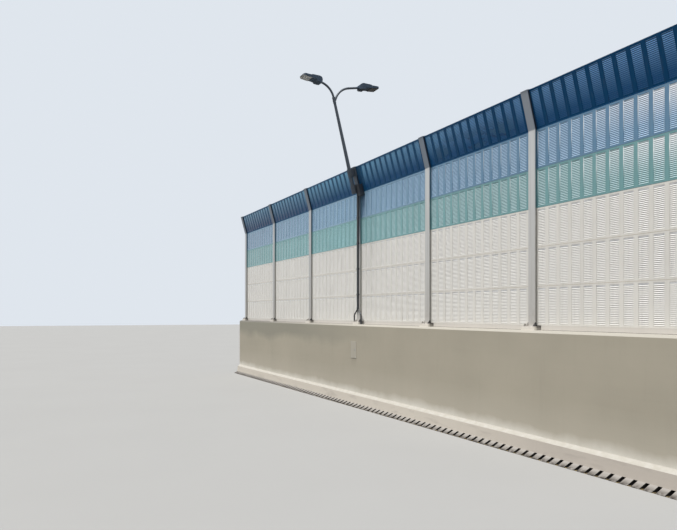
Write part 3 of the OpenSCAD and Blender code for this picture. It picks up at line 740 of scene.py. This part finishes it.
class Form:
    """Gathers small shapes into one joined mesh."""

    def __init__(self):
        self.points = []
        self.faces = []

    def ring(self, place, points):
        start = len(self.points)
        self.points.extend(place @ Vector(p) for p in points)
        return list(range(start, len(self.points)))

    def skin(self, rings, loop=False):
        """Joins rings of as many points, capped at both ends or closed on themselves."""
        pairs = list(zip(rings, rings[1:]))
        if loop:
            pairs.append((rings[-1], rings[0]))
        for low, high in pairs:
            for i in range(len(low)):
                j = (i + 1) % len(low)
                self.faces.append((low[i], low[j], high[j], high[i]))
        if not loop:
            self.faces.append(tuple(reversed(rings[0])))
            self.faces.append(tuple(rings[-1]))

    def turned(self, place, profile, steps, loop=False):
        """Turns (radius, height) pairs about the local Z axis."""
        angles = [math.tau * (i + 0.5) / steps for i in range(steps)]
        rings = []
        for r, h in profile:
            rings.append(self.ring(place, [(r * math.cos(a), r * math.sin(a), h) for a in angles]))
        self.skin(rings, loop)

    def plate(self, place, x, y, z, bevel):
        """A plate between low and high corners, with softened edges round its +Z face."""
        rings = []
        for inset, height in ((0, z[0]), (0, z[1] - bevel), (bevel, z[1])):
            inner_x = (x[0] + inset, x[1] - inset)
            inner_y = (y[0] + inset, y[1] - inset)
            rings.append(self.ring(place, rectangle(inner_x, inner_y, height)))
        self.skin(rings)

    def frame(self, place, half_x, half_y, width, z):
        """A rectangular rim of square section about the local origin."""
        rings = []
        for grow, height in ((0, z[0]), (width, z[0]), (width, z[1]), (0, z[1])):
            x, y = half_x + grow, half_y + grow
            rings.append(self.ring(place, rectangle((-x, x), (-y, y), height)))
        self.skin(rings, loop=True)

    def bead(self, start, end, radius, step=0.005, ripple=0.16):
        """A weld or sealant bead along a straight line."""
        run = Vector(end) - Vector(start)
        place = Matrix.Translation(start) @ run.to_track_quat("Z", "Y").to_matrix().to_4x4()
        count = max(2, round(run.length / step))
        profile = [(radius * 0.4, 0.0)]
        for i in range(count):
            profile.append((radius * (1 - ripple * (i % 2)), run.length * (i + 0.5) / count))
        profile.append((radius * 0.4, run.length))
        self.turned(place, profile, 6)

    def bolt(self, place, across, height, stud=0.0):
        """A hex head or nut on its washer, with the end of a stud if its radius is given."""
        washer = 0.09 * across
        self.turned(place, [(0.64 * across, 0), (0.64 * across, 0.8 * washer), (0.6 * across, washer)], 20)
        corner = across / math.sqrt(3)
        head = place @ at(0, 0, washer)
        self.turned(head, [(corner, 0), (corner, 0.82 * height), (0.86 * corner, height)], 6)
        if stud:
            rise = height + 0.75 * stud
            self.turned(head, [(stud, 0.5 * height), (stud, rise), (0.82 * stud, rise + 0.2 * stud)], 14)

    def screw(self, place, radius, height):
        """A low domed screw or rivet head."""
        self.turned(place, [(radius, 0), (0.82 * radius, 0.65 * height), (0.36 * radius, height)], 8)

    def piece(self, name, material, slot):
        """Makes the mesh a piece of the barrier, with smooth faces and sharp edges."""
        mesh = bpy.data.meshes.new(name)
        mesh.from_pydata(self.points, [], self.faces)
        work = bmesh.new()
        work.from_mesh(mesh)
        bmesh.ops.recalc_face_normals(work, faces=work.faces)
        work.to_mesh(mesh)
        work.free()
        mesh.shade_smooth()
        mesh.set_sharp_from_angle(angle=math.radians(38))
        mesh.materials.append(material)
        piece = bpy.data.objects.new(name, mesh)
        bpy.context.collection.objects.link(piece)
        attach(piece, "root")


def post_feet():
    """Anchor bolts on the base plates, and welds along the gussets and flanges."""
    bolts = Form()
    welds = Form()
    reach = 0.060
    for x in POSTS:
        for side in (-1, 1):
            for way in (-1, 1):
                anchor = at(x + side * ANCHOR_X, way * ANCHOR_Y, PLATE_TOP)
                bolts.bolt(anchor, 0.030, 0.018, stud=0.010)
                y0, y1 = sorted(way * y for y in GUSSET_SPAN)
                edge = x + side * (FLANGE_HALF + GUSSET_THICK + BITE)
                welds.bead((edge, y0, PLATE_TOP), (edge, y1, PLATE_TOP), 0.004)
            y = side * (POST_BACK + BITE)
            welds.bead((x - reach, y, PLATE_TOP), (x + reach, y, PLATE_TOP), 0.004)
    bolts.piece("anchor_bolts", EXTRA["shaded_bolt_coat"], "post_steel")
    welds.piece("foot_welds", MATERIALS["post_steel"], "post_steel")


def fold_welds():
    """Welds across both flanges of each post at the fold."""
    form = Form()
    reach = FLANGE_HALF - 0.0015
    back_fold = FOLD + 2 * POST_BACK * math.tan(math.radians(CANT / 2))
    for x in POSTS:
        for y, z in ((POST_FRONT, FOLD), (POST_BACK, back_fold)):
            form.bead((x - reach, y, z), (x + reach, y, z), 0.0022)
    form.piece("fold_welds", MATERIALS["post_steel"], "post_steel")


def fold_windows(jambs, tops, place):
    """Folded left and top edges of a panel's louvre windows."""
    width = 0.006
    depth = (0.0003, 0.0098)
    top = (WINDOW[1] - 0.0055, WINDOW[1])
    for i in range(COLUMN_COUNT):
        middle = FIRST_COLUMN + i * COLUMN_PITCH
        left = middle - LOUVRE_WIDTH / 2
        right = middle + LOUVRE_WIDTH / 2
        jambs.plate(place, (left, left + width), depth, WINDOW, 0.0003)
        tops.plate(place, (left + width, right), depth, top, 0.0003)


def rivet_edges(form, place):
    """Rivets along the foot and top of a panel, on every second strip and at its right edge."""
    radius, height = 0.0033, 0.0016
    margin = 0.0105
    places = [FIRST_COLUMN + (k + 0.5) * COLUMN_PITCH for k in range(0, COLUMN_COUNT - 1, 2)]
    places.append(FIRST_COLUMN + (COLUMN_COUNT - 0.36) * COLUMN_PITCH)
    for x in places:
        for z in (margin, ROW_HEIGHT - margin):
            form.screw(place @ at(x, 0, z) @ FORWARD, radius, height)
            form.screw(place @ at(x, PANEL_DEPTH, z) @ BACKWARD, radius, height)


def swage_back(form, place):
    """Two shallow stiffening swages across the back sheet of a panel."""
    section = [(0.0, 0.0), (0.0030, 0.006), (0.0030, 0.024), (0.0, 0.030)]
    back = PANEL_DEPTH - BITE
    for low in (0.150, 0.320):
        rings = []
        for x, rise in ((-1.16, 0.02), (-1.13, 1.0), (1.13, 1.0), (1.16, 0.02)):
            rings.append(form.ring(place, [(x, back + rise * out, low + up) for out, up in section]))
        form.skin(rings)


def panel_trim():
    """Window edges, rivets and swages of every panel, as two pieces for each row."""
    for row, (name, paint) in enumerate(ROW_PAINTS.items()):
        jambs = Form()
        trim = Form()
        for x in BAYS:
            place = row_place(x, row)
            fold_windows(jambs, trim, place)
            rivet_edges(trim, place)
            swage_back(trim, place)
        sheet = MATERIALS[f"{paint}_sheet"]
        jambs.piece(f"{name}_window_edges", EXTRA.get(f"{paint}_edge", sheet), f"{paint}_sheet")
        trim.piece(f"{name}_rivets_and_swages", sheet, f"{paint}_sheet")


def row_seams():
    """Foam strips that close the joints between the rows of panels."""
    form = Form()
    width = (-PANEL_HALF, PANEL_HALF)
    depth = (-0.0008, 0.004)
    joint = (-0.002, 0.002)
    for x in BAYS:
        for row in range(1, UPRIGHT_ROWS):
            form.plate(row_place(x, row), width, depth, joint, 0.0006)
    form.piece("row_seams", EXTRA["seam"], "gasket_rubber")


def drain_beds():
    """Silt on the floor of every drain slot, painted near black as shade."""
    form = Form()
    width = (-SLOT_HALF, SLOT_HALF)
    run = (KERB_TOE + 0.004, PARAPET_FACE)
    depth = (0.0, 0.004)
    for i in range(SLOT_COUNT):
        x = (i - (SLOT_COUNT - 1) / 2) * SLOT_PITCH
        form.plate(at(x, 0, 0), width, run, depth, 0.003)
    form.piece("drain_beds", EXTRA["drain_bed"], "kerb_concrete")


def sill_seals():
    """Sealant along the front and back foot of each base sill."""
    form = Form()
    for x in BAYS:
        for y in (PANEL_FRONT, PANEL_FRONT + PANEL_DEPTH):
            start = (x - SILL_HALF, y, PARAPET_TOP)
            form.bead(start, (x + SILL_HALF, y, PARAPET_TOP), 0.005, step=0.05, ripple=0.12)
    form.piece("sill_seals", EXTRA["sealant"], "sill_paint")


def clamp_bolts():
    """Bolts through the ears of both pole clamps, and set screws in their cheeks."""
    form = Form()
    ear_bolt = 0.0625
    ear_half = 0.011
    lower_clamp = (0.085, (0.045, 0.125))
    upper_clamp = (0.4075, (0.37, 0.445))
    for middle, levels in (lower_clamp, upper_clamp):
        axis = POLE_STANDOFF - middle * math.tan(math.radians(CANT - POLE_LEAN))
        for up in levels:
            for side in (-1, 1):
                ear = ON_CANT @ at(side * ear_bolt, -axis, up)
                form.bolt(ear @ at(0, -ear_half, 0) @ FORWARD, 0.017, 0.0095)
                form.bolt(ear @ at(0, ear_half, 0) @ BACKWARD, 0.017, 0.0095, stud=0.006)
                cheek = ON_CANT @ at(side * CLAMP_HALF, 0.0048, up) @ turn(side * 90, "Y")
                form.bolt(cheek, 0.012, 0.006)
    form.piece("clamp_bolts", EXTRA["dark_zinc"], "lamp_paint")


def box_fittings():
    """Lid, screws, hinges and blanked cable glands of the junction box."""
    lid = Form()
    front = ON_CANT @ at(BOX_X, -0.060, 0.045) @ FORWARD
    lid.plate(front, (-0.0605, 0.0605), (-0.103, 0.103), (0.0, 0.007), 0.003)
    lid.plate(front, (-0.052, 0.052), (-0.094, 0.094), (0.007, 0.0085), 0.0015)
    for up in (-0.065, 0.065):
        hinge = front @ at(-0.0615, up - 0.016, 0.002) @ turn(-90, "X")
        lid.turned(hinge, [(0.0036, 0), (0.0042, 0.001), (0.0042, 0.031), (0.0036, 0.032)], 12)
    lid.piece("junction_box_lid", MATERIALS["box_paint"], "box_paint")

    small = Form()
    for x in (-0.056, 0.056):
        for y in (-0.098, 0.098):
            small.screw(front @ at(x, y, 0.0055), 0.0042, 0.0032)
    for x in (-0.032, 0.032):
        gland = ON_CANT @ at(BOX_X + x, -0.020, -0.060) @ turn(180, "X")
        small.turned(gland, [(0.0150, 0), (0.0150, 0.007), (0.0140, 0.008)], 6)
        small.turned(gland, [(0.0110, 0.006), (0.0112, 0.018), (0.0085, 0.024), (0.0055, 0.026)], 18)
    small.piece("junction_box_fittings", EXTRA["dark_zinc"], "box_paint")


def hatch_fittings():
    """Six screws and a lock disc on the hatch cover, and the seal round it."""
    form = Form()
    wall = at(HATCH_X, PARAPET_FACE, HATCH_Z) @ FORWARD
    face = wall @ at(0, 0, HATCH_THICK)
    side, end = (half - 0.014 for half in HATCH_HALF)
    for x in (-side, side):
        for y in (-end, 0, end):
            form.screw(face @ at(x, y, 0), 0.0065, 0.0032)
    form.turned(face @ at(0.060, 0, 0), [(0.014, 0), (0.014, 0.002), (0.0125, 0.003)], 20)
    form.piece("hatch_screws", EXTRA["zinc"], "hatch")
    seal = Form()
    seal.frame(wall, *HATCH_HALF, 0.005, (-0.0005, 0.003))
    seal.piece("hatch_seal", EXTRA["pale_sealant"], "hatch")


def conduit_fittings():
    """Screws in the conduit clips, and a ring of sealant round each conduit's foot."""
    form = Form()
    lug_x = 0.0398
    lug_face = POST_FRONT - 0.003
    half_clip = 0.015
    for i in range(CLIP_COUNT):
        up = CLIP_START + (i + 0.5) * (FOLD - CLIP_START) / (CLIP_COUNT + 0.5) + half_clip
        for side in (-1, 1):
            form.screw(at(side * lug_x, lug_face, up) @ FORWARD, 0.0058, 0.0032)
    form.piece("clip_screws", EXTRA["zinc"], "conduit_paint")
    seal = Form()
    for side in (-1, 1):
        foot = at(side * CONDUIT_FOOT[0], CONDUIT_FOOT[1], PARAPET_TOP)
        seal.turned(foot, [(0.0198, 0), (0.0262, 0), (0.0240, 0.004), (0.0198, 0.008)], 24, loop=True)
    seal.piece("conduit_foot_seals", EXTRA["sealant"], "conduit_paint")


def pole_fittings():
    """Collar screws, weld rings and foot cap of the lamp pole."""
    form = Form()
    for angle in (35, 145, 270):
        for up in (POLE_TOP + 0.045, POLE_TOP + 0.088):
            collar = ON_POLE @ at(0, 0, up) @ turn(angle, "Z")
            form.bolt(collar @ at(COLLAR_RADIUS - 0.0005, 0, 0) @ turn(90, "Y"), 0.010, 0.006)
    form.piece("collar_screws", EXTRA["dark_zinc"], "lamp_paint")

    rings = Form()
    half = 0.003
    for up, radius in (
        (POLE_TOP, COLLAR_RADIUS),
        (POLE_TOP + COLLAR_LENGTH, COLLAR_RADIUS),
        (POLE_SEAM, POLE_RADIUS),
    ):
        bead = [
            (radius - 0.006, up - half), (radius + 0.0004, up - half), (radius + 0.002, up),
            (radius + 0.0004, up + half), (radius - 0.006, up + half),
        ]
        rings.turned(ON_POLE, bead, 40)
    foot = [
        (POLE_RADIUS + 0.001, POLE_FOOT + 0.012), (POLE_RADIUS + 0.002, POLE_FOOT + 0.010),
        (POLE_RADIUS + 0.002, POLE_FOOT - 0.001), (POLE_RADIUS - 0.003, POLE_FOOT - 0.004),
    ]
    rings.turned(ON_POLE, foot, 40)
    rings.piece("pole_welds_and_foot_cap", MATERIALS["lamp_paint"], "lamp_paint")


# Right half of a lamp head's plan, from its spigot to its tip
HALF_PLAN = [
    (0.054, 0.002), (0.084, 0.024), (0.098, 0.060), (0.106, 0.236),
    (0.120, 0.261), (0.120, 0.370), (0.106, 0.401), (0.076, 0.415),
]


def lamp_trim(name, place):
    """Seam round a lamp head's cover, and a latch on each flank."""
    form = Form()
    proud, sunk, half = 0.0014, 0.0021, 0.0022
    middle, tip = 0.2, 0.36
    rings = []
    for x, y in HALF_PLAN + [(-x, y) for x, y in reversed(HALF_PLAN)]:
        out = Vector((x, y - middle, 0)).normalized()
        # Round the tip the seam stands proud sideways only, so that it stays within the head's length
        if y > tip:
            out.y = 0.0
            y -= 0.0006
        rings.append(
            form.ring(place, [
                (x + way * out.x, y + way * out.y, z)
                for way, z in ((-sunk, -half), (proud, -half), (proud, half), (-sunk, half))
            ])
        )
    form.skin(rings, loop=True)
    for side in (-1, 1):
        flank = place @ at(side * 0.1015, 0.15, 0.0) @ turn(side * 90, "Y")
        form.plate(flank, (-0.014, 0.014), (-0.012, 0.012), (-0.001, 0.005), 0.0015)
        form.plate(flank, (-0.008, 0.018), (-0.007, 0.007), (0.004, 0.008), 0.0015)
    form.piece(f"{name}_trim", MATERIALS["head_paint"], "head_paint")


def glass_rim(name, place, glass):
    """Rim round a lamp's glass, and the glass's lip over the tip of the head."""
    form = Form()
    form.frame(glass, 0.1045, 0.0700, 0.007, (-0.001, 0.0058))
    rings = []
    for y, z, half in ((0.3950, -0.0160, 0.106), (0.4010, -0.0130, 0.104), (0.4130, -0.0070, 0.078)):
        out, low = y + 0.0006, z - 0.0012
        rings.append(form.ring(place, [(-half, y, z), (half, y, z), (half, out, low), (-half, out, low)]))
    form.skin(rings)
    form.piece(f"{name}_glass_rim", MATERIALS["lamp_glass"], "lamp_glass")


def lamp_screws(name, place, glass):
    """Bolts under a lamp head's neck, and screws round its glass."""
    form = Form()
    for x in (-0.028, 0.028):
        for y in (0.040, 0.085):
            form.bolt(place @ at(x, y, -0.038) @ turn(180, "X"), 0.010, 0.006)
    for x in (-0.108, 0, 0.108):
        for y in (-0.0735, 0.0735):
            form.screw(glass @ at(x, y, 0.0056), 0.0032, 0.0018)
    form.piece(f"{name}_screws", EXTRA["dark_zinc"], "head_paint")


def lens_board(name, glass, paint):
    """Board of lenses behind a lamp's glass."""
    form = Form()
    form.plate(glass, (-0.100, 0.100), (-0.066, 0.066), (-0.0002, 0.0006), 0.0002)
    dome = [(0.0062, 0), (0.0056, 0.0012), (0.0036, 0.0021), (0.0012, 0.0024)]
    columns, rows = 10, 6
    for i in range(columns):
        x = (i - (columns - 1) / 2) * 0.0195
        for j in range(rows):
            y = (j - (rows - 1) / 2) * 0.021
            form.turned(glass @ at(x, y, 0.0005), dome, 12)
    form.piece(f"{name}_lenses", EXTRA[paint], "lamp_glass")


def lamp_head(name, place, board_paint):
    """Everything on a lamp head: its seam and latches, glass rim, screws and lenses."""
    glass = place @ at(*GLASS_MIDDLE) @ turn(180, "X")
    lamp_trim(name, place)
    glass_rim(name, place, glass)
    lamp_screws(name, place, glass)
    lens_board(name, glass, board_paint)


post_feet()
fold_welds()
panel_trim()
row_seams()
drain_beds()
sill_seals()
clamp_bolts()
box_fittings()
hatch_fittings()
conduit_fittings()
pole_fittings()
lamp_head("road_lamp", ROAD_HEAD, "clean_lens")
lamp_head("outer_lamp", OUTER_HEAD, "grey_lens")


# Stage, light and camera


def seen_rays(tree, others):
    """1 for the rays that see the pale studio as it is: the camera's and the others named."""
    path = tree.nodes.new("ShaderNodeLightPath")
    total = path.outputs["Is Camera Ray"]
    for other in others:
        add = tree.nodes.new("ShaderNodeMath")
        add.operation = "MAXIMUM"
        tree.links.new(total, add.inputs[0])
        tree.links.new(path.outputs[other], add.inputs[1])
        total = add.outputs[0]
    return total


def studio_floor():
    """A plain floor, darker to the rays that light the barrier than to the camera."""
    mesh = bpy.data.meshes.new("floor")
    mesh.from_pydata(rectangle((-90, 60), (-60, 60), -0.001), [], [(0, 1, 2, 3)])
    floor = bpy.data.objects.new("floor", mesh)
    bpy.context.collection.objects.link(floor)
    n = Nodes("floor_paint")
    pale = n.mix(n.noise(0.4, 2.0), linear(150, 150, 149), linear(154, 154, 153))
    tone = n.mix(seen_rays(n.tree, ["Is Transmission Ray"]), linear(88, 87, 85), pale)
    mesh.materials.append(n.finish(tone, 0.9, 0.0, 0.1))


def studio_sky():
    """A pale sky to the camera, and a soft blue one to the rays that light the barrier."""
    world = bpy.data.worlds.new("studio")
    bpy.context.scene.world = world
    world.use_nodes = True
    tree = world.node_tree
    sky = tree.nodes["Background"]
    sky.inputs["Color"].default_value = (0.88, 0.93, 1.0, 1.0)
    sky.inputs["Strength"].default_value = 0.36
    seen = tree.nodes.new("ShaderNodeBackground")
    seen.inputs["Color"].default_value = (0.74, 0.79, 0.85, 1.0)
    pick = tree.nodes.new("ShaderNodeMixShader")
    tree.links.new(seen_rays(tree, ["Is Glossy Ray", "Is Transmission Ray"]), pick.inputs[0])
    tree.links.new(sky.outputs[0], pick.inputs[1])
    tree.links.new(seen.outputs[0], pick.inputs[2])
    tree.links.new(pick.outputs[0], tree.nodes["World Output"].inputs["Surface"])


def suns():
    """A key sun softened by cloud, and a faint wide fill."""
    for name, energy, spread, colour, travel in (
        ("key", 4.7, 14, (1.0, 0.975, 0.94), (0.09, 0.34, -0.936)),
        ("fill", 0.8, 50, (0.95, 0.97, 1.0), (-0.6, 0.35, -0.72)),
    ):
        sun = bpy.data.lights.new(name, "SUN")
        sun.energy = energy
        sun.angle = math.radians(spread)
        sun.color = colour
        lamp = bpy.data.objects.new(name, sun)
        lamp.rotation_euler = Vector(travel).to_track_quat("-Z", "Y").to_euler()
        bpy.context.collection.objects.link(lamp)


def camera():
    """A level camera at eye height on the road, shifted up."""
    data = bpy.data.cameras.new("camera")
    data.sensor_width = 36.0
    data.lens = 36.14
    data.shift_y = 0.0709
    data.clip_end = 300.0
    view = bpy.data.objects.new("camera", data)
    view.location = (11.885, -5.95, 1.769)
    view.rotation_euler = (math.radians(90), 0, math.radians(65.33))
    bpy.context.collection.objects.link(view)
    bpy.context.scene.camera = view


studio_floor()
studio_sky()
suns()
camera()
bpy.context.scene.view_settings.view_transform = "Standard"
